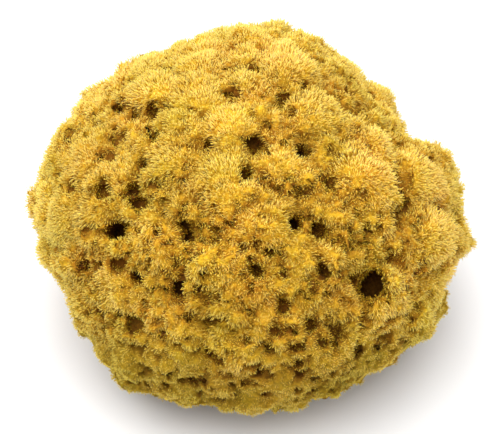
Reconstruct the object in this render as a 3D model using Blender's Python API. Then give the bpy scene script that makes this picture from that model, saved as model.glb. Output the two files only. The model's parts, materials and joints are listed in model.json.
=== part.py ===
"""A natural bath sponge: a rounded, tufted mound full of pores, cut off flat where it grew on the rock.

The surface here is the one that the tips of the tufts reach. Lengths are in millimetres until
they are put in a mesh, which is in metres. +Z is up and the sponge rests on its cut.
"""

import math
import random

import bmesh
import bpy
import numpy as np
from mathutils import Matrix, Vector, noise
from mathutils.bvhtree import BVHTree

MM = 0.001

# The mound: half its width, depth and height, and how far its middle is above the cut
HALF_WIDTH = 75.0
HALF_DEPTH = 73.0
HALF_HEIGHT = 60.0
MIDDLE_HEIGHT = 47.0
MESH_DETAIL = 6
FACETS_KEPT = 0.205

# The show side is seen from the front and from above, at about arm's length
SHOW_ELEVATION = math.radians(45)
SHOW_DISTANCE = 700.0
RIGHT = Vector((1, 0, 0))
UP = Vector((0, math.sin(SHOW_ELEVATION), math.cos(SHOW_ELEVATION)))
TOWARDS = Vector((0, -math.cos(SHOW_ELEVATION), math.sin(SHOW_ELEVATION)))

# The outline from there: across and up from the middle, once round from the top
OUTLINE = [
    (8, 67), (16, 66), (23, 61), (31, 56), (37, 50), (44, 45), (50, 39), (52, 31), (55, 26),
    (63, 25), (67, 21), (71, 15), (72, 6), (74, -6), (75, -12), (67, -20), (64, -26), (64, -31),
    (62, -37), (57, -42), (50, -48), (40, -53), (33, -57), (20, -62), (8, -64), (-4, -64),
    (-14, -64), (-24, -62), (-40, -58), (-47, -54), (-51, -48), (-59, -35), (-64, -26),
    (-71, -17), (-74, -5), (-75, 3), (-75, 11), (-73, 17), (-67, 27), (-65, 33), (-58, 42),
    (-49, 48), (-40, 56), (-32, 58), (-24, 61), (-12, 64), (-5, 67), (3, 66),
]
OUTLINE_GRIP = 4
WIDEST_AIM = 0.97
AIM_ROUNDS = 6

# Tufted cushions of the show side, on the plane of the outline: across, up, radius
SHOW_CUSHIONS = [
    (-36, 45, 8.8), (-57, 38, 5.1), (-43, 33, 4.4), (-60, 18, 7.4), (-68, -1, 9.1),
    (-65, -18, 6.7), (-51, -28, 6.1), (-45, -43, 5.1), (-38, -35, 4.0), (-28, -40, 6.4),
    (-9, 11, 8.8), (-24, 4, 4.7), (-30, 19, 8.1), (-34, -9, 6.1), (-14, -17, 7.1), (-8, -34, 8.1),
    (-18, 54, 8.8), (-4, 47, 6.7), (-8, 31, 8.1), (14, 54, 9.1), (23, 37, 8.1), (11, 18, 6.7),
    (34, 43, 6.4), (42, 14, 10.1), (62, 14, 8.8), (67, -8, 8.8), (57, -8, 3.4), (48, -26, 6.7),
    (58, -38, 7.1), (31, -17, 4.7), (34, -2, 5.4), (17, -15, 5.7), (19, -28, 5.7), (34, -34, 4.7),
    (4, -4, 6.7), (1, -25, 6.7), (27, -50, 7.4), (10, -43, 6.1), (-5, -48, 7.1), (-30, -53, 8.1),
    (48, -45, 5.4), (-44, 5, 4.4), (-47, -13, 4.4), (13, -60, 6.1), (-12, -61, 6.1), (28, 23, 5.7),
    (46, 33, 6.4), (-48, 20, 4.4), (-67, 14, 4.0), (5, 36, 5.1), (-51, -6, 3.7), (-26, -25, 4.4),
    (-18, -6, 4.0), (24, -7, 3.4),
]

# Cushions of the other sides, spread evenly and then moved a little
OTHER_CUSHIONS = 230
OTHER_JITTER = 0.1
OTHER_SEED = 7
OTHER_APART = 0.75

# How deep the creases between cushions are, and how high cushions are for their radius
CREASE_DEPTH = 2.2
CREASE_WIDTH = 1.3
CUSHION_RISE = (0.26, 0.44)
UNEVEN_RISE = 1.2
UNEVEN_SIZE = 9.0

# Pores of the show side, on the plane of the outline: across, up, width, height, turn, depth
SHOW_PORES = [
    (-7, 41, 6.0, 3.5, 0, 10), (-36, 35, 4.5, 7.5, -10, 10), (-35, 28, 3.5, 2.5, -20, 12),
    (-48, 26, 6.5, 4.0, -10, 11), (-47, 39, 2.5, 4.0, 30, 7), (-62, 29, 4.5, 4.5, 0, 8),
    (-50, 20, 6.0, 2.5, -20, 7), (-40, 18, 5.5, 3.5, -10, 8), (-52, 8, 3.5, 8.0, -5, 13),
    (-41, 10, 3.0, 6.5, -15, 13), (-39, 5, 5.0, 3.5, 0, 24), (-34, 10, 2.5, 3.5, 0, 10),
    (-16, 24, 3.5, 2.5, 0, 12), (-1, 15, 4.0, 6.5, 0, 11), (2, 24, 7.5, 4.5, -10, 11),
    (-62, 9, 4.0, 2.5, -20, 8), (10, 40, 6.5, 4.5, 15, 8), (18, 23, 6.0, 5.5, 15, 13),
    (34, 46, 2.5, 2.5, 0, 10), (37, 37, 3.5, 2.5, 0, 12), (3, 57, 4.0, 2.5, -10, 8),
    (18, 56, 3.5, 2.5, 0, 8), (38, 7, 3.0, 2.0, 0, 12), (27, 12, 4.0, 3.5, 0, 11),
    (18, 7, 6.0, 2.5, 10, 10), (-47, -4, 6.5, 6.5, 0, 22), (-56, -6, 2.5, 4.5, 20, 8),
    (-24, -4, 3.5, 2.5, 0, 30), (-23, -8, 3.0, 2.5, 0, 30), (-13, -8, 2.5, 2.0, 0, 20),
    (-54, -17, 4.5, 3.0, -15, 8), (-47, -18, 4.5, 3.5, -30, 20), (-40, -22, 3.5, 3.5, 0, 22),
    (-27, -25, 4.5, 2.5, -10, 30), (-26, -29, 3.5, 3.0, 0, 30), (-16, -29, 2.5, 2.0, 10, 20),
    (-24, -20, 2.5, 4.0, 0, 8), (-41, -38, 4.0, 4.0, 10, 10), (-15, -37, 8.0, 2.5, 0, 8),
    (-12, -51, 3.0, 2.5, 0, 20), (-20, -57, 2.5, 2.0, 0, 12), (-2, -57, 2.5, 2.5, 0, 14),
    (15, -2, 4.0, 4.0, 0, 20), (24, -6, 5.5, 6.5, 0, 11), (41, -6, 3.0, 2.5, 0, 12),
    (35, -10, 2.5, 4.5, -20, 10), (52, -2, 4.0, 5.0, 0, 10), (51, -16, 6.0, 6.5, 0, 8),
    (39, -24, 8.0, 11.5, -30, 22), (24, -19, 3.0, 5.5, -20, 20), (1, -20, 3.5, 4.0, 0, 22),
    (6, -14, 2.5, 2.5, -30, 12), (21, -24, 2.5, 2.0, 0, 20), (10, -32, 4.0, 4.5, -20, 11),
    (21, -38, 3.5, 2.5, 15, 24), (29, -40, 3.5, 3.0, 0, 26), (24, -45, 3.0, 2.5, 0, 12),
    (37, -47, 3.5, 3.0, 0, 12), (46, -43, 7.5, 2.5, 0, 6), (56, -34, 3.5, 9.5, -35, 8),
    (39, -36, 2.5, 5.5, 10, 8), (7, -41, 4.0, 2.5, 15, 11), (6, -47, 2.5, 2.5, 0, 14),
    (15, -46, 3.5, 2.5, 0, 8), (15, -52, 3.0, 2.0, 0, 18), (2, -55, 5.0, 2.0, 0, 11),
    (53, 14, 3.0, 16.0, -10, 6), (-16, -48, 2.5, 5.0, 0, 8), (64, 3, 8.0, 2.5, 30, 5),
]
PORE_EXTRA = 0.6

# Pores of the other sides, spread by chance, and the canals that the cut laid open
OTHER_PORES = 30
OTHER_SPACING = math.radians(15)
OTHER_WIDTH = (3.0, 8.0)
OTHER_STRETCH = (0.6, 1.5)
OTHER_DEPTH = (9.0, 20.0)
SHOW_SIDE_COSINE = 0.25
LOWEST_PORE = -0.55
CUT_CANALS = [
    (-24, 10, 8, 5, 20, 12), (16, 22, 6, 7, 0, 14), (22, -12, 7, 5, -30, 11), (-10, -24, 5, 4, 0, 10),
]

# A pore's plug: sides for each width that it is under, length outside, flare, bottom and unevenness
PORE_SIDES = [(4, 6), (7, 8), (99, 11)]
PORE_OUTSIDE = 6.0
PORE_FLARE = 1.25
PORE_BOTTOM = 0.5
PORE_WOBBLE = 0.14
PORE_SEED = 21

FIBRE_COLOUR = (0.56, 0.32, 0.045, 1)
MIDDLE = Vector((0, 0, MIDDLE_HEIGHT))


def clear_scene():
    for obj in list(bpy.data.objects):
        bpy.data.objects.remove(obj, do_unlink=True)


def collection(name):
    made = bpy.data.collections.new(name)
    bpy.context.scene.collection.children.link(made)
    return made


def spread_directions():
    """Unit vectors spread evenly over a sphere, each a little off its place."""
    rng = random.Random(OTHER_SEED)
    turn = math.pi * (3 - math.sqrt(5))
    found = []
    for i in range(OTHER_CUSHIONS):
        height = 1 - 2 * (i + 0.5) / OTHER_CUSHIONS
        around = math.sqrt(1 - height * height)
        even = Vector((around * math.cos(i * turn), around * math.sin(i * turn), height))
        off = Vector([rng.uniform(-OTHER_JITTER, OTHER_JITTER) for _ in range(3)])
        found.append((even + off).normalized())
    return found


def outline_reach():
    """The outline as its distance from the middle at any angle, in radians from the right."""
    points = np.array(OUTLINE, float)
    angles = np.arctan2(points[:, 1], points[:, 0])
    order = np.argsort(angles)
    angles, reach = angles[order], np.hypot(*points.T)[order]
    angles = np.concatenate([angles - 2 * math.pi, angles, angles + 2 * math.pi])
    reach = np.tile(reach, 3)
    return lambda angle: float(np.interp(angle, angles, reach))


def ellipsoid_outline(angle):
    """The same distance for the plain ellipsoid that the mound is shaped from."""
    tall = math.hypot(HALF_DEPTH * math.sin(SHOW_ELEVATION), HALF_HEIGHT * math.cos(SHOW_ELEVATION))
    return 1 / math.hypot(math.cos(angle) / HALF_WIDTH, math.sin(angle) / tall)


def plain_reach(direction, outline):
    """How far the mound reaches in a direction from its middle, without its cushions."""
    x, y, z = direction
    reach = 1 / math.sqrt((x / HALF_WIDTH) ** 2 + (y / HALF_DEPTH) ** 2 + (z / HALF_HEIGHT) ** 2)
    angle = math.atan2(direction.dot(UP), direction.dot(RIGHT))
    sideways = math.sqrt(max(0.0, 1 - direction.dot(TOWARDS) ** 2))
    return reach * (1 + sideways**OUTLINE_GRIP * (outline(angle) / ellipsoid_outline(angle) - 1))


def show_direction(across, up, outline):
    """The direction from the middle to what is seen at a place on the outline's plane."""
    angle = math.atan2(up, across)
    apart = math.hypot(across, up)
    sideways = min(WIDEST_AIM, apart / HALF_WIDTH)
    for _ in range(AIM_ROUNDS):
        towards = math.sqrt(1 - sideways**2)
        direction = (RIGHT * math.cos(angle) + UP * math.sin(angle)) * sideways + TOWARDS * towards
        reach = plain_reach(direction, outline)
        seen = reach * sideways / (1 - reach * towards / SHOW_DISTANCE)
        sideways = min(WIDEST_AIM, sideways * apart / seen)
    return direction


def make_cushions(outline):
    """Every cushion as its direction from the middle, with their radii in radians."""
    places, radii = [], []
    for across, up, radius in SHOW_CUSHIONS:
        direction = show_direction(across, up, outline)
        places.append(direction)
        radii.append(radius / plain_reach(direction, outline))
    shown = list(zip(places, radii))
    usual = math.sqrt(4 / OTHER_CUSHIONS)
    for direction in spread_directions():
        if all(direction.angle(other) > (radius + usual) * OTHER_APART for other, radius in shown):
            places.append(direction)
            radii.append(usual)
    return np.array(places), np.array(radii)


def make_surface():
    """A function that gives the mound's surface point, in mm, in a direction from its middle."""
    outline = outline_reach()
    places, radii = make_cushions(outline)
    rises = np.random.default_rng(OTHER_SEED).uniform(*CUSHION_RISE, len(radii)) * radii

    def surface(direction):
        reach = plain_reach(direction, outline)
        ranks = np.arccos(np.clip(places @ np.array(direction), -1, 1)) / radii
        nearest, second = np.argpartition(ranks, 1)[:2]
        from_crease = min(1.0, (ranks[second] - ranks[nearest]) / CREASE_WIDTH)
        reach += rises[nearest] * reach * math.sin(from_crease * math.pi / 2) - CREASE_DEPTH
        reach += UNEVEN_RISE * noise.noise(direction * HALF_WIDTH / UNEVEN_SIZE)
        return MIDDLE + direction * float(reach)

    return surface


def make_mound(surface, parts):
    """The whole mound without its pores, cut off flat at its base."""
    shape = bmesh.new()
    bmesh.ops.create_icosphere(shape, subdivisions=MESH_DETAIL, radius=1)
    for vertex in shape.verts:
        vertex.co = surface(vertex.co.normalized()) * MM
    mesh = bpy.data.meshes.new("sponge")
    shape.to_mesh(mesh)
    shape.free()
    mound = bpy.data.objects.new("sponge", mesh)
    parts.objects.link(mound)
    facets = mound.modifiers.new("facets", "DECIMATE")
    facets.ratio = FACETS_KEPT
    graph = bpy.context.evaluated_depsgraph_get()
    shape = bmesh.new()
    shape.from_object(mound, graph)
    mound.modifiers.remove(facets)
    cut = bmesh.ops.bisect_plane(
        shape, geom=shape.verts[:] + shape.edges[:] + shape.faces[:],
        plane_co=(0, 0, 0), plane_no=(0, 0, 1), clear_inner=True,
    )
    rim = [part for part in cut["geom_cut"] if isinstance(part, bmesh.types.BMEdge)]
    bmesh.ops.edgeloop_fill(shape, edges=rim)
    bmesh.ops.recalc_face_normals(shape, faces=shape.faces)
    shape.to_mesh(mesh)
    shape.free()
    return mound


def bvh_of(mound):
    return BVHTree.FromPolygons(
        [vertex.co / MM for vertex in mound.data.vertices],
        [polygon.vertices for polygon in mound.data.polygons],
    )


def make_pore(cutters, rng, mouth, inward, upward, width, height, turn, depth):
    """A tapering plug whose middle line enters the mound at its mouth, to be cut out of it."""
    sides = next(count for limit, count in PORE_SIDES if max(width, height) < limit)
    shape = bmesh.new()
    length = depth + PORE_OUTSIDE
    flare = 1 + (PORE_FLARE - 1) * PORE_OUTSIDE / length
    bmesh.ops.create_cone(
        shape, cap_ends=True, segments=sides, radius1=flare, radius2=PORE_BOTTOM, depth=length,
    )
    for vertex in shape.verts:
        away = 1 + rng.uniform(-PORE_WOBBLE, PORE_WOBBLE)
        vertex.co.x *= away * width / 2
        vertex.co.y *= away * height / 2
        vertex.co.z += length / 2 - PORE_OUTSIDE
    across = upward.cross(inward).normalized()
    axes = Matrix((across, inward.cross(across), inward)).transposed().to_4x4()
    place = Matrix.Translation(mouth) @ axes @ Matrix.Rotation(-math.radians(turn), 4, "Z")
    bmesh.ops.transform(shape, matrix=Matrix.Scale(MM, 4) @ place, verts=shape.verts)
    bmesh.ops.recalc_face_normals(shape, faces=shape.faces)
    mesh = bpy.data.meshes.new("pore")
    shape.to_mesh(mesh)
    shape.free()
    cutter = bpy.data.objects.new("pore", mesh)
    cutter.hide_render = True
    cutter.display_type = "WIRE"
    cutters.objects.link(cutter)


def make_show_pores(bvh, cutters, rng):
    """Pores at their places on the show side, each leaning half towards the viewer."""
    eye = MIDDLE + TOWARDS * SHOW_DISTANCE
    for across, up, width, height, turn, depth in SHOW_PORES:
        aim = (MIDDLE + RIGHT * across + UP * up - eye).normalized()
        mouth, normal, _, _ = bvh.ray_cast(eye, aim)
        if mouth is None:
            raise ValueError(f"the pore at {across}, {up} is off the mound")
        make_pore(
            cutters, rng, mouth, (aim - normal).normalized(), UP,
            width + PORE_EXTRA, height + PORE_EXTRA, turn, depth,
        )


def make_other_pores(bvh, cutters, rng):
    """Pores by chance over the sides and back, none closer together than the spacing."""
    chosen = []
    while len(chosen) < OTHER_PORES:
        direction = Vector([rng.gauss(0, 1) for _ in range(3)]).normalized()
        if direction.dot(TOWARDS) > SHOW_SIDE_COSINE or direction.z < LOWEST_PORE:
            continue
        if any(direction.angle(other) < OTHER_SPACING for other in chosen):
            continue
        chosen.append(direction)
        mouth, normal, _, _ = bvh.ray_cast(MIDDLE + direction * SHOW_DISTANCE, -direction)
        width = rng.uniform(*OTHER_WIDTH)
        height = width * rng.uniform(*OTHER_STRETCH)
        inward = (-direction - normal).normalized()
        make_pore(
            cutters, rng, mouth, inward, Vector((0, 0, 1)),
            width, height, rng.uniform(0, 180), rng.uniform(*OTHER_DEPTH),
        )


def make_canals(cutters, rng):
    for x, y, width, height, turn, depth in CUT_CANALS:
        make_pore(
            cutters, rng, Vector((x, y, 0)), Vector((0, 0, 1)), Vector((0, 1, 0)),
            width, height, turn, depth,
        )


def cut_pores(mound, cutters):
    cut = mound.modifiers.new("pores", "BOOLEAN")
    cut.operation = "DIFFERENCE"
    cut.solver = "EXACT"
    cut.operand_type = "COLLECTION"
    cut.collection = cutters


def centre_on_base(mound, cutters):
    """Puts the middle of the sponge's box over the origin, with its pores."""
    graph = bpy.context.evaluated_depsgraph_get()
    box = [Vector(corner) for corner in mound.evaluated_get(graph).bound_box]
    middle = sum(box, Vector()) / len(box)
    shift = Matrix.Translation((-middle.x, -middle.y, 0))
    for obj in [mound, *cutters.objects]:
        obj.data.transform(shift)


def make_finish():
    """Dry golden sponge fibre."""
    finish = bpy.data.materials.new("sponge_fibre")
    finish.use_nodes = True
    shader = finish.node_tree.nodes["Principled BSDF"]
    shader.inputs["Base Color"].default_value = FIBRE_COLOUR
    shader.inputs["Roughness"].default_value = 0.9
    shader.inputs["Metallic"].default_value = 0.0
    return finish


def main():
    clear_scene()
    parts = collection("bath_sponge")
    cutters = collection("pore_cutters")
    mound = make_mound(make_surface(), parts)
    bvh = bvh_of(mound)
    rng = random.Random(PORE_SEED)
    make_show_pores(bvh, cutters, rng)
    make_other_pores(bvh, cutters, rng)
    make_canals(cutters, rng)
    cut_pores(mound, cutters)
    centre_on_base(mound, cutters)
    mound.data.materials.append(make_finish())


main()
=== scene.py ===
"""A natural sea sponge: its felted body, pores and tufts of golden fibre, and a plain pale set.

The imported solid's surface is where the tips of the tufts reach. A felted body stands inside it, with
the same pores and the same cut base, and tufts of fibre grow from the body out to that surface, and a
little way over the rims of the pores. Lengths are in metres.
"""

import json
import math
import random

import bpy
import numpy as np
from mathutils import Matrix, Vector, noise
from mathutils.bvhtree import BVHTree

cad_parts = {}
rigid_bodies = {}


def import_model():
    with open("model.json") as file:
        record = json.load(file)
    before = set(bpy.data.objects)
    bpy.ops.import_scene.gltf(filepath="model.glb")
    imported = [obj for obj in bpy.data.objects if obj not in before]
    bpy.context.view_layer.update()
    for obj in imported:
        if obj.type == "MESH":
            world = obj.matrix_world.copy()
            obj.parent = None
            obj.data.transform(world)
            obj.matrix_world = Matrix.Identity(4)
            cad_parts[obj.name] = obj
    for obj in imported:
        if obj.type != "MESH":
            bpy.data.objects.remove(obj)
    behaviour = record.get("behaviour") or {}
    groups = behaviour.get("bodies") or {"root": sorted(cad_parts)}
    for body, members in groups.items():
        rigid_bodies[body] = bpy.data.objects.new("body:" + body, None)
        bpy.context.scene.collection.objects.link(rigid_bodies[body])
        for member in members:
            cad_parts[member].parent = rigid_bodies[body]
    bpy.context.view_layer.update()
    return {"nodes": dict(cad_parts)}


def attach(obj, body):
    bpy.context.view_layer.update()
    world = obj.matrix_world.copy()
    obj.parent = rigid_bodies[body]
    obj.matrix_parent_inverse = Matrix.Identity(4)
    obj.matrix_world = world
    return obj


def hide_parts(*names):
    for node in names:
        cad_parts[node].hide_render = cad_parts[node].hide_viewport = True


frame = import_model()

MM = 0.001

# The middle that the sponge grew round, and the side it is shown from. The camera looks past the
# middle, a little lower.
MIDDLE = Vector((0, 0, 47 * MM))
SHOW_ELEVATION = math.radians(45)
SHOW_DISTANCE = 700 * MM
RIGHT = Vector((1, 0, 0))
UP = Vector((0, math.sin(SHOW_ELEVATION), math.cos(SHOW_ELEVATION)))
TOWARDS = Vector((0, -math.cos(SHOW_ELEVATION), math.sin(SHOW_ELEVATION)))
LOOK_LOWER = 1.2 * MM
LENS = 150

# Cushions of tufts as in the solid, on the show side's plane in mm: across, up, radius
SHOW_CUSHIONS = [
    (-36, 45, 8.8), (-57, 38, 5.1), (-43, 33, 4.4), (-60, 18, 7.4), (-68, -1, 9.1),
    (-65, -18, 6.7), (-51, -28, 6.1), (-45, -43, 5.1), (-38, -35, 4.0), (-28, -40, 6.4),
    (-9, 11, 8.8), (-24, 4, 4.7), (-30, 19, 8.1), (-34, -9, 6.1), (-14, -17, 7.1), (-8, -34, 8.1),
    (-18, 54, 8.8), (-4, 47, 6.7), (-8, 31, 8.1), (14, 54, 9.1), (23, 37, 8.1), (11, 18, 6.7),
    (34, 43, 6.4), (42, 14, 10.1), (62, 14, 8.8), (67, -8, 8.8), (57, -8, 3.4), (48, -26, 6.7),
    (58, -38, 7.1), (31, -17, 4.7), (34, -2, 5.4), (17, -15, 5.7), (19, -28, 5.7), (34, -34, 4.7),
    (4, -4, 6.7), (1, -25, 6.7), (27, -50, 7.4), (10, -43, 6.1), (-5, -48, 7.1), (-30, -53, 8.1),
    (48, -45, 5.4), (-44, 5, 4.4), (-47, -13, 4.4), (13, -60, 6.1), (-12, -61, 6.1), (28, 23, 5.7),
    (46, 33, 6.4), (-48, 20, 4.4), (-67, 14, 4.0), (5, 36, 5.1), (-51, -6, 3.7), (-26, -25, 4.4),
    (-18, -6, 4.0), (24, -7, 3.4),
]
# Soft hollows on the show side in mm: across and up from end to end, radius, depth
SHOW_HOLLOWS = [
    (-36, 36, -49, 26, 2.6, 2.6), (1, 23, 1, 16, 2.4, 2.4), (17, 25, 20, 22, 2.2, 2.4),
    (-53, 9, -51, 5, 2.4, 2.6), (-41, 7, -38, 2, 2.2, 2.2), (-52, 0, -48, -9, 3.0, 3.0),
    (-8, 42, -6, 40, 2.2, 2.2), (8, 41, 11, 38, 2.2, 2.2), (50, 22, 54, 4, 1.9, 4.0),
    (53, 2, 52, -3, 2.4, 3.0), (34, -20, 40, -29, 3.0, 3.2), (50, -15, 48, -20, 2.4, 2.6),
    (24, -17, 26, -22, 2.4, 2.6), (0, -19, 2, -23, 2.4, 2.4), (33, -7, 42, -14, 2.6, 2.2),
    (15, 4, 22, -1, 2.4, 2.2), (-47, -18, -40, -23, 2.4, 2.4), (26, -39, 31, -41, 2.2, 2.4),
    (12, -29, 20, -35, 2.2, 2.2), (-20, -12, -14, -9, 2.0, 1.8), (-33, 20, -40, 14, 2.2, 2.0),
    (8, 8, 12, 12, 2.0, 2.0), (62, -20, 56, -27, 2.2, 2.4), (-57, -24, -60, -14, 2.2, 2.2),
    (36, 26, 41, 30, 2.0, 2.0), (-22, 29, -18, 23, 2.0, 1.8), (-2, -8, 6, -12, 2.0, 1.8),
]
# The other cushions, as in the solid: how many, how far off even places, and how near a shown one
OTHER_CUSHIONS = 230
OTHER_JITTER = 0.1
OTHER_SEED = 7
OTHER_APART = 0.75

# Where the sponge is felted and not shaggy: low down, and higher up at the front
FELTED_ALONG = (0, 0.45, 1)
FELTED_BELOW = 12 * MM
SHAGGY_ABOVE = 36 * MM
FELT_WANDER = 9 * MM
FELT_WANDER_SIZE = 14 * MM

# The body: how far inside the tips it is, and how it is meshed
SHAGGY_INSET = 3.0 * MM
FELTED_INSET = 0.8 * MM
LEAST_DEPTH = 1.2 * MM
FELTED_DEPTH = 0.45 * MM
BASE_BAND = 6 * MM
BASE_SINK = 2 * MM
WRAP_DETAIL = 8
WRAP_FROM = 120 * MM
SKIN_SMOOTHING = 40
MOUND_SMOOTHING = 3
PORE_WIDENING = 2
BODY_GRAIN = 1.01 * MM
BODY_SMOOTHING = 2
SPARES = ("solid_copy", "Icosphere", "skin", "mound", "inner_mound")

# The body's relief: clumps, lumps, pits, narrow holes and fine felt, and a swerve that bends them.
# It is left out where less sky than ROUGH_SKY is seen, and fades in over ROUGH_SPAN more.
ROUGH_SKY = 0.45
ROUGH_SPAN = 0.3
CLUMP_SIZE = 4.6 * MM
CLUMP_RISE = 12 * MM
CLUMP_LEVEL = 0.1
PIT_SPACING = 5.5 * MM
PIT_DEPTH = 3.6 * MM
LUMP_SIZE = 2.9 * MM
LUMP_RISE = 2.6 * MM
LUMP_LEVEL = 0.5
PIT_REACH = (0.2, 0.36)
HOLE_SPACING = 6.8 * MM
HOLE_DEPTH = 6 * MM
HOLE_REACH = (0.12, 0.23)
SWERVE_SIZE = 3 * MM
SWERVE = 3.2 * MM
FELT_SIZE = 2.4 * MM
FELT_RISE = 0.9 * MM
SILKY_CLUMPS = 0.2
SILKY_PITS = 0.3
FELTED_CLUMPS = 0.25
LEAST_LUMPS = 0.6

# Which cushions are silky: the big ones, of the upper half or the sides, radii and places in mm
CURLY_RADIUS = 6.4
SILKY_RADIUS = 8.6
SILKY_UP = 0
SILKY_ACROSS = 50

# Where tufts stand: how far apart, the least sky they see, and the share left out in the felt
TUFT_SPACING = 1.0 * MM
PORE_SKY = 0.14
FELTED_GAPS = 0.5
TUFTS_ABOVE = 1.2 * MM

# How tufts point: from the core of their cushion by LEAN, and with its own SWEEP. How long their
# fibres are: between the sky shares OPEN_SHARES, in percent, from SHADE_LENGTH by SKY_LENGTH more.
CORE_DEPTH = 1.3
LEAN = 0.4
SILKY_LEAN = 0.4
LEAST_LEAN = 0.1
SWEEP = 0.3
WANDER = 0.17
SILKY_CALM = 0.08
LONGEST_FIBRE = 2.2 * MM
LENGTH_HABIT = (0.85, 1.3)
SILKY_LENGTH = 0.6
FELTED_LOSS = 0.7
OPEN_SHARES = (8, 80)
SHADE_LENGTH = 0.45
SKY_LENGTH = 0.65

# The fibres in each tuft
TUFT_PATTERNS = 40
FIBRES_IN_TUFT = 8
FIBRE_RADIUS = 0.125 * MM
TUFT_RADIUS = 0.5 * MM
TUFT_SPLAY = 0.3
FIBRE_STRAY = 0.18
SHORTEST_FIBRE = 1.0 * MM
ROOT_DEPTH = 0.6 * MM
LOWEST_TIP = 0.5 * MM
LOWEST_POINT = 0.2 * MM
PORE_OVERHANG = 2.2 * MM
WALL_FACING = 0.6

# The pieces that the tufts are split into: the top, up from this share of the way, and the sides
TOP_SHARE = 0.72
SIDE_PIECES = 5


def deselect():
    bpy.ops.object.select_all(action="DESELECT")


def make_active(piece):
    deselect()
    piece.select_set(True)
    bpy.context.view_layer.objects.active = piece


def apply_modifiers(piece):
    make_active(piece)
    for name in [modifier.name for modifier in piece.modifiers]:
        bpy.ops.object.modifier_apply(modifier=name)


def merged_copy_of_solid():
    """The solid's own surface as one joined mesh, to shape the body with."""
    piece = bpy.data.objects.new("solid_copy", frame["nodes"]["sponge"].data.copy())
    bpy.context.scene.collection.objects.link(piece)
    make_active(piece)
    bpy.ops.object.mode_set(mode="EDIT")
    bpy.ops.mesh.select_all(action="SELECT")
    bpy.ops.mesh.remove_doubles(threshold=1e-6)
    bpy.ops.object.mode_set(mode="OBJECT")
    return piece


def points_of(piece):
    points = np.empty(len(piece.data.vertices) * 3, np.float32)
    piece.data.vertices.foreach_get("co", points)
    return points.reshape(-1, 3).astype(float)


def set_points(piece, points):
    piece.data.vertices.foreach_set("co", points.astype(np.float32).ravel())
    piece.data.update()


def bvh_of(piece):
    return BVHTree.FromPolygons(
        [vertex.co for vertex in piece.data.vertices],
        [polygon.vertices for polygon in piece.data.polygons],
    )


def set_attribute(piece, name, values):
    made = piece.data.attributes.new(name, "FLOAT", "POINT")
    made.data.foreach_set("value", np.asarray(values, np.float32))


def felted_share(points):
    """How felted the sponge is at points: 1 low down and at the lower front, 0 where it is shaggy."""
    wander = np.array([noise.noise(Vector(point) / FELT_WANDER_SIZE) for point in points]) * FELT_WANDER
    level = points @ np.array(FELTED_ALONG) + wander
    share = (SHAGGY_ABOVE - level) / (SHAGGY_ABOVE - FELTED_BELOW)
    share = np.clip(share, 0, 1)
    return share * share * (3 - 2 * share)


def wrap_solid(solid):
    """A ball wrapped on the solid, which takes its creases and the mouths of its pores."""
    bpy.ops.mesh.primitive_ico_sphere_add(subdivisions=WRAP_DETAIL, radius=WRAP_FROM, location=MIDDLE)
    ball = bpy.context.active_object
    wrap = ball.modifiers.new("wrap", "SHRINKWRAP")
    wrap.target = solid
    wrap.wrap_method = "PROJECT"
    wrap.use_negative_direction = True
    wrap.use_positive_direction = False
    apply_modifiers(ball)
    bpy.ops.object.transform_apply(location=True, rotation=True, scale=True)
    return ball


def smooth_copy(piece, name, rounds):
    copy = bpy.data.objects.new(name, piece.data.copy())
    bpy.context.scene.collection.objects.link(copy)
    smooth = copy.modifiers.new("smooth", "SMOOTH")
    smooth.iterations = rounds
    apply_modifiers(copy)
    return copy


def widen_pores(mound):
    """Each point drawn in as far as its deepest neighbour, so that fibres leave the pores open."""
    edges = np.empty(len(mound.data.edges) * 2, np.int32)
    mound.data.edges.foreach_get("vertices", edges)
    first, second = edges.reshape(-1, 2).T
    out = points_of(mound) - np.array(MIDDLE)
    reach = np.linalg.norm(out, axis=1)
    drawn = reach.copy()
    for _ in range(PORE_WIDENING):
        before = drawn.copy()
        np.minimum.at(drawn, first, before[second])
        np.minimum.at(drawn, second, before[first])
    set_points(mound, np.array(MIDDLE) + out * (drawn / reach)[:, None])


def hollow_depths(points):
    """How far the soft hollows of the show side draw in each point."""
    eye = MIDDLE + TOWARDS * SHOW_DISTANCE - UP * LOOK_LOWER
    aims = points - np.array(eye)
    scale = SHOW_DISTANCE / -(aims @ np.array(TOWARDS))
    across = aims @ np.array(RIGHT) * scale / MM
    up = (aims @ np.array(UP) * scale - LOOK_LOWER) / MM
    out = points - np.array(MIDDLE)
    facing = np.clip(out @ np.array(TOWARDS) / np.linalg.norm(out, axis=1) * 3, 0, 1)
    depths = np.zeros(len(points))
    for x0, y0, x1, y1, radius, depth in SHOW_HOLLOWS:
        length = (x1 - x0) ** 2 + (y1 - y0) ** 2
        along = np.clip(((across - x0) * (x1 - x0) + (up - y0) * (y1 - y0)) / length, 0, 1)
        off = (across - x0 - along * (x1 - x0)) ** 2 + (up - y0 - along * (y1 - y0)) ** 2
        depths = np.maximum(depths, depth * MM * np.exp(-off / radius**2) * facing)
    return depths


def make_inner_mound(ball):
    """The wrapped ball drawn in by a tuft's length, and flattened where the cut is."""
    mound = smooth_copy(ball, "mound", 0)
    widen_pores(mound)
    mound = smooth_copy(mound, "inner_mound", MOUND_SMOOTHING)
    points = points_of(mound)
    inset = SHAGGY_INSET + (FELTED_INSET - SHAGGY_INSET) * felted_share(points) + hollow_depths(points)
    out = points - np.array(MIDDLE)
    points -= out / np.linalg.norm(out, axis=1, keepdims=True) * inset[:, None]
    points[points[:, 2] < BASE_BAND, 2] = -BASE_SINK
    set_points(mound, points)
    return mound


def normals_of(piece):
    normals = np.empty(len(piece.data.vertices) * 3, np.float32)
    piece.data.vertices.foreach_get("normal", normals)
    return normals.reshape(-1, 3).astype(float)


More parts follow.
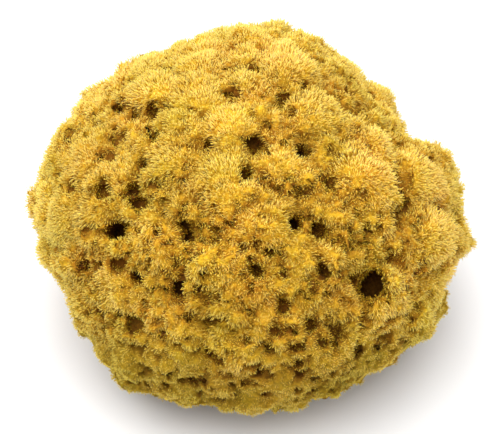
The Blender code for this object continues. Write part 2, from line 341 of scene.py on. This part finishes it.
def make_body(solid, mound):
    """The felted body: the inner mound with the solid's pores and cut base."""
    body = bpy.data.objects.new("sponge_body", mound.data.copy())
    bpy.context.scene.collection.objects.link(body)
    keep = body.modifiers.new("pores", "BOOLEAN")
    keep.operation = "INTERSECT"
    keep.solver = "MANIFOLD"
    keep.object = solid
    grain = body.modifiers.new("grain", "REMESH")
    grain.mode = "VOXEL"
    grain.voxel_size = BODY_GRAIN
    soften = body.modifiers.new("soften", "SMOOTH")
    soften.iterations = BODY_SMOOTHING
    apply_modifiers(body)
    return body


def add_group(piece, name, weights):
    group = piece.vertex_groups.new(name=name)
    for step in range(11):
        group.add(np.flatnonzero(np.rint(weights * 10) == step).tolist(), step / 10, "REPLACE")


def make_spots(name, spacing, reach):
    """A texture of round spots, to sink pits with."""
    spots = bpy.data.textures.new(name, "VORONOI")
    spots.noise_scale = spacing
    spots.use_color_ramp = True
    for element, place, shade in zip(spots.color_ramp.elements, reach, (1, 0)):
        element.position = place
        element.color = (shade, shade, shade, 1)
    return spots


def add_displace(piece, texture, strength, level, group):
    made = piece.modifiers.new(texture.name, "DISPLACE")
    made.texture = texture
    made.strength = strength
    made.mid_level = level
    made.vertex_group = group
    return made


def roughen(body, cushions):
    """Clumps and fine felted unevenness, apart from the pores' walls and the flat cut."""
    points = points_of(body)
    sky = openness(body, bvh_of(body))
    silk = silky_share(points, cushions)
    outer = np.clip((sky - ROUGH_SKY) / ROUGH_SPAN, 0, 1) * (points[:, 2] > 2 * MM)
    felt = felted_share(points)
    pitted = outer * (1 - (1 - SILKY_PITS) * silk)
    add_group(body, "clumped", outer * (1 - (1 - FELTED_CLUMPS) * felt) * (1 - (1 - SILKY_CLUMPS) * silk))
    add_group(body, "pitted", pitted)
    add_group(body, "lumpy", pitted * np.maximum(felt, LEAST_LUMPS))
    add_group(body, "above_cut", points[:, 2] > 1 * MM)
    cells = bpy.data.textures.new("clumps", "VORONOI")
    cells.noise_scale = CLUMP_SIZE
    cells.weight_1 = -1
    cells.weight_2 = 1
    lumps = bpy.data.textures.new("lumps", "VORONOI")
    lumps.noise_scale = LUMP_SIZE
    swirl = bpy.data.textures.new("swerve", "CLOUDS")
    swirl.noise_scale = SWERVE_SIZE
    swirl.cloud_type = "COLOR"
    cloud = bpy.data.textures.new("felt", "CLOUDS")
    cloud.noise_scale = FELT_SIZE
    cloud.noise_depth = 2
    add_displace(body, cells, CLUMP_RISE, CLUMP_LEVEL, "clumped")
    add_displace(body, lumps, -LUMP_RISE, LUMP_LEVEL, "lumpy")
    add_displace(body, make_spots("pits", PIT_SPACING, PIT_REACH), -PIT_DEPTH, 0, "pitted")
    add_displace(body, make_spots("holes", HOLE_SPACING, HOLE_REACH), -HOLE_DEPTH, 0, "lumpy")
    add_displace(body, cloud, FELT_RISE, 0.5, "above_cut")
    add_displace(body, swirl, SWERVE, 0.5, "above_cut").direction = "RGB_TO_XYZ"
    apply_modifiers(body)
    bpy.ops.object.shade_smooth()


def keep_inside(body, solid_bvh):
    """The body drawn in where it comes near the solid's surface above the cut, to leave room
    for fibres."""
    points = points_of(body)
    least = LEAST_DEPTH + (FELTED_DEPTH - LEAST_DEPTH) * felted_share(points)
    for i, point in enumerate(points):
        nearest, normal, _, _ = solid_bvh.find_nearest(point)
        wanted = least[i] * min(1, max(0, point[2] / (3 * MM) - 0.2))
        depth = (nearest - Vector(point)).dot(normal)
        if depth < wanted:
            points[i] -= np.array(normal) * (wanted - depth)
    set_points(body, points)


def spread_directions():
    """Unit vectors spread evenly over a sphere, each a little off its place, as in the solid."""
    rng = random.Random(OTHER_SEED)
    turn = math.pi * (3 - math.sqrt(5))
    found = []
    for i in range(OTHER_CUSHIONS):
        height = 1 - 2 * (i + 0.5) / OTHER_CUSHIONS
        around = math.sqrt(1 - height * height)
        even = Vector((around * math.cos(i * turn), around * math.sin(i * turn), height))
        off = Vector([rng.uniform(-OTHER_JITTER, OTHER_JITTER) for _ in range(3)])
        found.append((even + off).normalized())
    return found


def find_cushions(solid_bvh):
    """The cushions as arrays: directions from the middle, radii in radians, their cores, which
    the tufts point away from, and how silky they are."""
    eye = MIDDLE + TOWARDS * SHOW_DISTANCE
    places, radii, tops, silk = [], [], [], []
    for across, up, radius in SHOW_CUSHIONS:
        aim = MIDDLE + (RIGHT * across + UP * up) * MM - eye
        hit = solid_bvh.ray_cast(eye, aim)[0]
        if hit is None:
            continue
        places.append((hit - MIDDLE).normalized())
        radii.append(radius * MM / (hit - MIDDLE).length)
        tops.append(hit)
        share = min(1, max(0, (radius - CURLY_RADIUS) / (SILKY_RADIUS - CURLY_RADIUS)))
        silk.append(share if up > SILKY_UP or abs(across) > SILKY_ACROSS else 0)
    shown = list(zip(places, radii))
    usual = math.sqrt(4 / OTHER_CUSHIONS)
    for direction in spread_directions():
        if all(direction.angle(other) > (radius + usual) * OTHER_APART for other, radius in shown):
            hit = solid_bvh.ray_cast(MIDDLE + direction * SHOW_DISTANCE, -direction)[0]
            places.append(direction)
            radii.append(usual)
            tops.append(hit)
            silk.append(random.Random(len(silk)).uniform(0, 1))
    places, radii, tops = np.array(places), np.array(radii), np.array(tops)
    reach = np.linalg.norm(tops - np.array(MIDDLE), axis=1)
    cores = tops - places * (radii * reach * CORE_DEPTH)[:, None]
    return places, radii, cores, np.array(silk)


def nearest_cushions(points, cushions):
    """Each point's cushion, and how near it is to the cushion's middle: 1 there and 0 at its edge."""
    places, radii = cushions[:2]
    out = points - np.array(MIDDLE)
    out /= np.linalg.norm(out, axis=1, keepdims=True)
    ratios = np.arccos(np.clip(out @ places.T, -1, 1)) / radii
    return ratios.argmin(axis=1), np.clip(1.15 - ratios.min(axis=1), 0, 1)


def silky_share(points, cushions):
    """How silky the tufts are at points: 1 on the big smooth cushions, 0 on the curly ones."""
    nearest, inner = nearest_cushions(points, cushions)
    return cushions[3][nearest] * np.minimum(1, inner * 2.5)


def ray_fan(count):
    """Directions over the half sphere round +Z, closer together towards its top."""
    turn = math.pi * (3 - math.sqrt(5))
    fan = []
    for i in range(count):
        around = math.sqrt((i + 0.5) / count)
        fan.append((around * math.cos(i * turn), around * math.sin(i * turn), math.sqrt(1 - around**2)))
    return np.array(fan)


def openness(piece, bvh, rays=14, reach=16 * MM):
    """How much of the sky each point sees past the piece itself, from 0 to 1."""
    points = points_of(piece)
    normals = normals_of(piece)
    aside = np.cross(normals, np.where(np.abs(normals[:, :1]) < 0.8, [[1, 0, 0]], [[0, 1, 0]]))
    aside /= np.linalg.norm(aside, axis=1, keepdims=True)
    across = np.cross(normals, aside)
    seen = np.zeros(len(points))
    starts = points + normals * 0.5 * MM
    for x, y, z in ray_fan(rays):
        aims = aside * x + across * y + normals * z
        for i, (start, aim) in enumerate(zip(starts.tolist(), aims.tolist())):
            if bvh.ray_cast(start, aim, reach)[0] is None:
                seen[i] += 1
    return blurred(piece, seen / rays, 2)


def blurred(piece, values, rounds):
    """Values averaged with those of the neighbouring points."""
    edges = np.empty(len(piece.data.edges) * 2, np.int32)
    piece.data.edges.foreach_get("vertices", edges)
    first, second = edges.reshape(-1, 2).T
    count = len(values)
    share = 1 + np.bincount(first, minlength=count) + np.bincount(second, minlength=count)
    for _ in range(rounds):
        near = np.bincount(first, values[second], count) + np.bincount(second, values[first], count)
        values = (values + near) / share
    return values


def make_fibre():
    """One fibre, one long and one thick: broad at its root and pointed at its tip."""
    bpy.ops.mesh.primitive_cone_add(vertices=3, radius1=1, radius2=0, depth=1, location=(0, 0, 0.5))
    fibre = bpy.context.active_object
    bpy.ops.object.transform_apply(location=True, rotation=False, scale=False)
    bpy.ops.object.mode_set(mode="EDIT")
    bpy.ops.mesh.select_all(action="SELECT")
    bpy.ops.mesh.quads_convert_to_tris()
    bpy.ops.object.mode_set(mode="OBJECT")
    points = points_of(fibre)
    faces = np.array([list(polygon.vertices) for polygon in fibre.data.polygons])
    bpy.data.objects.remove(fibre)
    return points, faces


def make_tuft_pattern(rng):
    """A tuft's fibres as rows: root across, splay across, height, thickness, and if it is blunt."""
    rows = []
    for i in range(FIBRES_IN_TUFT):
        around = 2 * math.pi * (i * 0.618 + rng.uniform(-0.08, 0.08))
        out = math.sqrt((i + 0.3) / FIBRES_IN_TUFT)
        way = Vector((math.cos(around), math.sin(around)))
        root = way * out * TUFT_RADIUS
        splay = way * out * TUFT_SPLAY + Vector((rng.gauss(0, 1), rng.gauss(0, 1))) * FIBRE_STRAY
        tall = 1 - 0.1 * out * out - rng.uniform(0, 0.2)
        rows.append((*root, *splay, tall, FIBRE_RADIUS * rng.uniform(0.75, 1.25), i % 2))
    return rows


def scatter_roots(body, sky):
    """Spots on the body where tufts stand, outside the pores and evenly apart, with their faces."""
    mesh = body.data
    rng = random.Random(8)
    picks = list(range(len(mesh.polygons)))
    rng.shuffle(picks)
    gaps = felted_share(points_of(body)) * FELTED_GAPS
    roots, cells = [], {}
    for pick in picks:
        polygon = mesh.polygons[pick]
        if polygon.center.z < TUFTS_ABOVE or sky[polygon.vertices[0]] < PORE_SKY:
            continue
        shares = [rng.random() for _ in polygon.vertices]
        corners = [mesh.vertices[i].co * share for i, share in zip(polygon.vertices, shares)]
        spot = sum(corners, Vector()) / sum(shares)
        if rng.random() < gaps[polygon.vertices[0]]:
            continue
        x, y, z = (math.floor(value / TUFT_SPACING) for value in spot)
        near = (
            other
            for dx in (-1, 0, 1) for dy in (-1, 0, 1) for dz in (-1, 0, 1)
            for other in cells.get((x + dx, y + dy, z + dz), ())
        )
        if any((other - spot).length < TUFT_SPACING for other in near):
            continue
        cells.setdefault((x, y, z), []).append(spot)
        roots.append((spot, polygon))
    return roots


def plan_tufts(skin_bvh, body, cushions, sky):
    """Every tuft as its root, aim, longest fibre, sky and tint."""
    rng = random.Random(3)
    roots = scatter_roots(body, sky)
    spots = np.array([root for root, _ in roots])
    low, high = np.percentile(sky, OPEN_SHARES)
    tufts = []
    felts, silks = felted_share(spots), silky_share(spots, cushions)
    nearest = nearest_cushions(spots, cushions)[0]
    for (root, polygon), felt, silk, cushion in zip(roots, felts, silks, nearest):
        smooth = skin_bvh.find_nearest(root)[1]
        habit = random.Random(int(cushion))
        lean = (habit.uniform(0, LEAN) + SILKY_LEAN * silk) * (1 - 0.5 * felt)
        # the tint is lowered where the sponge is felted, low down and at the lower front: partly the
        # felt's own darker colour, partly painted shade on the lower side
        tint = habit.uniform(0, 1) * (1 - 0.5 * felt) - 0.8 * felt * felt
        open_sky = min(1, max(0, (sky[polygon.vertices[0]] - low) / (high - low)))
        long = LONGEST_FIBRE * (habit.uniform(*LENGTH_HABIT) + SILKY_LENGTH * silk)
        long *= (1 - FELTED_LOSS * felt) * (SHADE_LENGTH + SKY_LENGTH * open_sky)
        sweep = Vector([habit.uniform(-SWEEP, SWEEP) for _ in range(3)])
        fan = (root - Vector(cushions[2][cushion])).normalized()
        wander = Vector([rng.gauss(0, WANDER - SILKY_CALM * silk) for _ in range(3)])
        aim = smooth * (0.5 - 0.5 * lean) + polygon.normal * (0.55 - 0.3 * silk)
        aim += fan * (LEAST_LEAN + lean)
        tufts.append((root, (aim + sweep + wander).normalized(), long, open_sky, tint))
    return tufts


def grow_fibres(tufts, solid_bvh):
    """Every fibre of the tufts as a row: root, tip, thickness, if it is blunt, sky and tint. It
    ends at the solid's surface, or hangs over a little where that is the wall of a pore."""
    rng = random.Random(11)
    patterns = [make_tuft_pattern(rng) for _ in range(TUFT_PATTERNS)]
    fibres = []
    for root, aim, long, sky, tint in tufts:
        side = Matrix.Rotation(rng.uniform(0, 2 * math.pi), 3, aim) @ aim.orthogonal().normalized()
        other = aim.cross(side)
        longest = ROOT_DEPTH + long * rng.uniform(0.85, 1.1)
        shade = tint + rng.uniform(-0.15, 0.15)
        outwards = (root - MIDDLE).normalized()
        overhang = rng.uniform(0, PORE_OVERHANG)
        for root_x, root_y, splay_x, splay_y, tall, thick, blunt in rng.choice(patterns):
            start = root + side * root_x + other * root_y - aim * ROOT_DEPTH
            way = (aim + side * splay_x + other * splay_y).normalized()
            hit = solid_bvh.ray_cast(start, way, longest + thick)
            reach = 0
            if hit[0] is None:
                reach = longest * tall
            elif hit[1].dot(way) > 0:
                past = overhang if hit[1].dot(outwards) < WALL_FACING else -thick
                reach = min(hit[3] + past, longest) * tall
            end = start + way * max(reach, ROOT_DEPTH + min(SHORTEST_FIBRE, long) * tall)
            if end.z > LOWEST_TIP:
                fibres.append((*start, *end, thick, blunt, sky, shade))
    return np.array(fibres)


def build_fibres(name, fibres, template, template_faces):
    """Fibres as one mesh, each a copy of the modelled one, the blunt ones turned end for end."""
    start, end, thick = fibres[:, None, 0:3], fibres[:, None, 3:6], fibres[:, None, 6:7]
    blunt = fibres[:, 7:8]
    way = end - start
    way /= np.linalg.norm(way, axis=2, keepdims=True)
    side = np.cross(way, np.where(np.abs(way[..., 2:]) < 0.8, [0, 0, 1.0], [1.0, 0, 0]))
    side /= np.linalg.norm(side, axis=2, keepdims=True)
    other = np.cross(way, side)
    across = np.where(blunt, -template[:, 0], template[:, 0])[..., None]
    along = np.where(blunt, 1 - template[:, 2], template[:, 2])[..., None]
    points = start + (end - start) * along + (side * across + other * template[None, :, 1:2]) * thick
    points[..., 2] = np.maximum(points[..., 2], LOWEST_POINT)
    count, corners = len(fibres), len(template)
    faces = template_faces[None] + np.arange(count)[:, None, None] * corners
    mesh = bpy.data.meshes.new(name)
    mesh.vertices.add(count * corners)
    mesh.vertices.foreach_set("co", points.astype(np.float32).ravel())
    mesh.loops.add(faces.size)
    mesh.loops.foreach_set("vertex_index", faces.astype(np.int32).ravel())
    mesh.polygons.add(faces.size // 3)
    mesh.polygons.foreach_set("loop_start", np.arange(0, faces.size, 3, dtype=np.int32))
    mesh.polygons.foreach_set("loop_total", np.full(faces.size // 3, 3, np.int32))
    mesh.update(calc_edges=True)
    mesh.validate()
    piece = bpy.data.objects.new(name, mesh)
    bpy.context.scene.collection.objects.link(piece)
    set_attribute(piece, "along", along.ravel())
    set_attribute(piece, "sky", np.repeat(fibres[:, 8], corners))
    set_attribute(piece, "tint", np.repeat(fibres[:, 9], corners))
    make_active(piece)
    bpy.ops.object.shade_smooth()
    return piece


def split_by_side(fibres):
    """The fibres of the top, and equal shares of those round the sides."""
    out = fibres[:, 0:3] - np.array(MIDDLE)
    out /= np.linalg.norm(out, axis=1, keepdims=True)
    top = out[:, 2] > TOP_SHARE
    sides = fibres[~top]
    around = np.arctan2(out[~top, 1], out[~top, 0])
    parts = {"tufts_top": fibres[top]}
    for i, share in enumerate(np.array_split(np.argsort(around), SIDE_PIECES)):
        parts[f"tufts_side_{i + 1}"] = sides[share]
    return parts


def ramp(tree, stops):
    """A colour ramp with its places and colours."""
    node = tree.nodes.new("ShaderNodeValToRGB")
    elements = node.color_ramp.elements
    while len(elements) < len(stops):
        elements.new(0.5)
    for element, (place, colour) in zip(elements, stops):
        element.position = place
        element.color = (*colour, 1)
    return node


def add_attribute(tree, name):
    node = tree.nodes.new("ShaderNodeAttribute")
    node.attribute_name = name
    return node.outputs["Fac"]


def add_range(tree, value, low, high, start=0.0, end=1.0):
    """A value that runs from start to end, made to run from low to high."""
    node = tree.nodes.new("ShaderNodeMapRange")
    node.inputs["From Min"].default_value = start
    node.inputs["From Max"].default_value = end
    node.inputs["To Min"].default_value = low
    node.inputs["To Max"].default_value = high
    tree.links.new(value, node.inputs["Value"])
    return node.outputs["Result"]


def multiplied(tree, one, other):
    node = tree.nodes.new("ShaderNodeMath")
    node.operation = "MULTIPLY"
    tree.links.new(one, node.inputs[0])
    tree.links.new(other, node.inputs[1])
    return node.outputs["Value"]


def add_noise(tree, size, detail):
    """Soft noise in the piece's own coordinates, with patches of about the size."""
    place = tree.nodes.new("ShaderNodeTexCoord")
    node = tree.nodes.new("ShaderNodeTexNoise")
    node.inputs["Scale"].default_value = 1 / size
    node.inputs["Detail"].default_value = detail
    tree.links.new(place.outputs["Object"], node.inputs["Vector"])
    return node.outputs["Fac"]


def make_tone_group():
    """The slow drift of the sponge's colour, which all its finishes share."""
    tree = bpy.data.node_groups.new("sponge_tone", "ShaderNodeTree")
    tree.interface.new_socket("Colour", in_out="INPUT", socket_type="NodeSocketColor")
    tree.interface.new_socket("Value", in_out="INPUT", socket_type="NodeSocketFloat")
    tree.interface.new_socket("Colour", in_out="OUTPUT", socket_type="NodeSocketColor")
    given = tree.nodes.new("NodeGroupInput")
    made = tree.nodes.new("NodeGroupOutput")
    drift = tree.nodes.new("ShaderNodeHueSaturation")
    fade = add_range(tree, add_noise(tree, 21 * MM, 1), 0.84, 1.1, 0.32, 0.68)
    hue = add_range(tree, add_noise(tree, 16 * MM, 2), 0.487, 0.504, 0.3, 0.7)
    tree.links.new(hue, drift.inputs["Hue"])
    tree.links.new(given.outputs["Colour"], drift.inputs["Color"])
    tree.links.new(multiplied(tree, fade, given.outputs["Value"]), drift.inputs["Value"])
    tree.links.new(drift.outputs["Color"], made.inputs["Colour"])
    return tree


def add_tone(tree, tone_group, colour, value):
    node = tree.nodes.new("ShaderNodeGroup")
    node.node_tree = tone_group
    tree.links.new(colour, node.inputs["Colour"])
    tree.links.new(value, node.inputs["Value"])
    return node.outputs["Colour"]


def make_fibre_material(tone_group):
    """Golden fibre, paler at its tip, and browner where it sees less of the sky, which is painted shade
    in the creases and pores.
    """
    finish = bpy.data.materials.new("golden_fibre")
    finish.use_nodes = True
    tree = finish.node_tree
    shader = tree.nodes["Principled BSDF"]
    # the root a little darker and more orange than the tip: partly the fibre's own colour, partly painted
    # shade deep inside the tuft
    tone = ramp(tree, [
        (0.1, (0.75, 0.375, 0.012)), (0.55, (0.77, 0.405, 0.016)), (1.0, (0.78, 0.43, 0.024)),
    ])
    tree.links.new(add_attribute(tree, "along"), tone.inputs["Fac"])
    # painted shade: the fibre's colour darkened and browned where its root sees less of the sky, in
    # creases, hollows and pores
    shade = ramp(tree, [(0, (0.42, 0.29, 0.15)), (0.5, (0.82, 0.74, 0.62)), (1.0, (1.0, 1.0, 1.0))])
    tree.links.new(add_attribute(tree, "sky"), shade.inputs["Fac"])
    shaded = tree.nodes.new("ShaderNodeVectorMath")
    shaded.operation = "MULTIPLY"
    tree.links.new(tone.outputs["Color"], shaded.inputs[0])
    tree.links.new(shade.outputs["Color"], shaded.inputs[1])
    # the tint sets the fibre's brightness; its lowered felted end is partly painted shade on the lower
    # side
    value = add_range(tree, add_attribute(tree, "tint"), 0.6, 1.13, -0.8)
    colour = add_tone(tree, tone_group, shaded.outputs["Vector"], value)
    tree.links.new(colour, shader.inputs["Base Color"])
    shader.inputs["Roughness"].default_value = 0.8
    shader.inputs["Specular IOR Level"].default_value = 0.05
    shader.inputs["Subsurface Weight"].default_value = 0.7
    shader.inputs["Subsurface Radius"].default_value = (1.0, 0.85, 0.7)
    shader.inputs["Subsurface Scale"].default_value = 1.5 * MM
    return finish


def make_body_material(tone_group):
    """Felt, golden in the open; painted shade makes it brown in the creases and darker in the pores, and
    it is darker low down, partly its own colour and partly painted shade.
    """
    finish = bpy.data.materials.new("felted_body")
    finish.use_nodes = True
    tree = finish.node_tree
    shader = tree.nodes["Principled BSDF"]
    # painted shade: the body's colour runs from near black where it sees no sky, in pores and creases, to
    # golden in the open
    tone = ramp(tree, [
        (0.0, (0.09, 0.035, 0.003)), (0.35, (0.2, 0.085, 0.005)),
        (0.65, (0.38, 0.2, 0.01)), (0.9, (0.57, 0.36, 0.018)),
    ])
    tree.links.new(add_attribute(tree, "sky"), tone.inputs["Fac"])
    grain = add_noise(tree, 1.1 * MM, 3)
    # darker where the sponge is felted, low down and at the lower front: partly the felt's own colour,
    # partly painted shade on the lower side
    felt = add_range(tree, add_attribute(tree, "felt"), 1, 0.54)
    value = multiplied(tree, add_range(tree, grain, 0.65, 1.15, 0.3, 0.7), felt)
    tree.links.new(add_tone(tree, tone_group, tone.outputs["Color"], value), shader.inputs["Base Color"])
    bump = tree.nodes.new("ShaderNodeBump")
    bump.inputs["Distance"].default_value = 0.6 * MM
    tree.links.new(grain, bump.inputs["Height"])
    tree.links.new(bump.outputs["Normal"], shader.inputs["Normal"])
    shader.inputs["Roughness"].default_value = 0.9
    shader.inputs["Specular IOR Level"].default_value = 0.1
    shader.inputs["Subsurface Weight"].default_value = 0.3
    shader.inputs["Subsurface Radius"].default_value = (1.0, 0.7, 0.4)
    shader.inputs["Subsurface Scale"].default_value = 2 * MM
    return finish


def make_floor():
    bpy.ops.mesh.primitive_plane_add(size=6, location=(0, 0, -0.1 * MM))
    floor = bpy.context.active_object
    floor.name = "floor"
    finish = bpy.data.materials.new("pale_floor")
    finish.use_nodes = True
    shader = finish.node_tree.nodes["Principled BSDF"]
    shader.inputs["Base Color"].default_value = (0.72, 0.72, 0.72, 1)
    shader.inputs["Roughness"].default_value = 0.8
    floor.data.materials.append(finish)


def make_area_light(name, place, size, power):
    light = bpy.data.lights.new(name, "AREA")
    light.energy = power
    light.size = size
    lamp = bpy.data.objects.new(name, light)
    lamp.location = place
    lamp.rotation_euler = (MIDDLE - Vector(place)).to_track_quat("-Z", "Y").to_euler()
    bpy.context.scene.collection.objects.link(lamp)


def make_set():
    make_floor()
    world = bpy.data.worlds.new("studio")
    world.use_nodes = True
    world.node_tree.nodes["Background"].inputs["Color"].default_value = (1, 1, 1, 1)
    world.node_tree.nodes["Background"].inputs["Strength"].default_value = 0.68
    bpy.context.scene.world = world
    make_area_light("key", (-0.15, -0.12, 0.9), 1.2, 19)
    make_area_light("fill", (0.6, -0.4, 0.5), 0.5, 1.5)
    bpy.context.scene.view_settings.view_transform = "Standard"


def make_camera():
    lens = bpy.data.cameras.new("camera")
    lens.lens = LENS
    camera = bpy.data.objects.new("camera", lens)
    camera.location = MIDDLE + TOWARDS * SHOW_DISTANCE - UP * LOOK_LOWER
    camera.rotation_euler = (-TOWARDS).to_track_quat("-Z", "Y").to_euler()
    bpy.context.scene.collection.objects.link(camera)
    bpy.context.scene.camera = camera


def main():
    make_camera()
    solid = merged_copy_of_solid()
    solid_bvh = bvh_of(solid)
    ball = wrap_solid(solid)
    skin = smooth_copy(ball, "skin", SKIN_SMOOTHING)
    mound = make_inner_mound(ball)
    body = make_body(solid, mound)
    cushions = find_cushions(solid_bvh)
    roughen(body, cushions)
    keep_inside(body, solid_bvh)
    sky = openness(body, bvh_of(body))
    # the sky share, which sets the painted shade in the body's and the fibres' finishes
    set_attribute(body, "sky", sky)
    # the felted share, which darkens the body's finish: partly its own colour, partly painted shade on
    # the lower side
    set_attribute(body, "felt", felted_share(points_of(body)))
    tone_group = make_tone_group()
    body.data.materials.clear()
    body.data.materials.append(make_body_material(tone_group))
    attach(body, "root")
    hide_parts("sponge")
    template, template_faces = make_fibre()
    fibres = grow_fibres(plan_tufts(bvh_of(skin), body, cushions, sky), solid_bvh)
    material = make_fibre_material(tone_group)
    for name, some in split_by_side(fibres).items():
        piece = build_fibres(name, some, template, template_faces)
        piece.data.materials.append(material)
        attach(piece, "root")
    for spare in [o for o in bpy.data.objects if o.name.split(".")[0] in SPARES]:
        bpy.data.objects.remove(spare)
    make_set()


main()
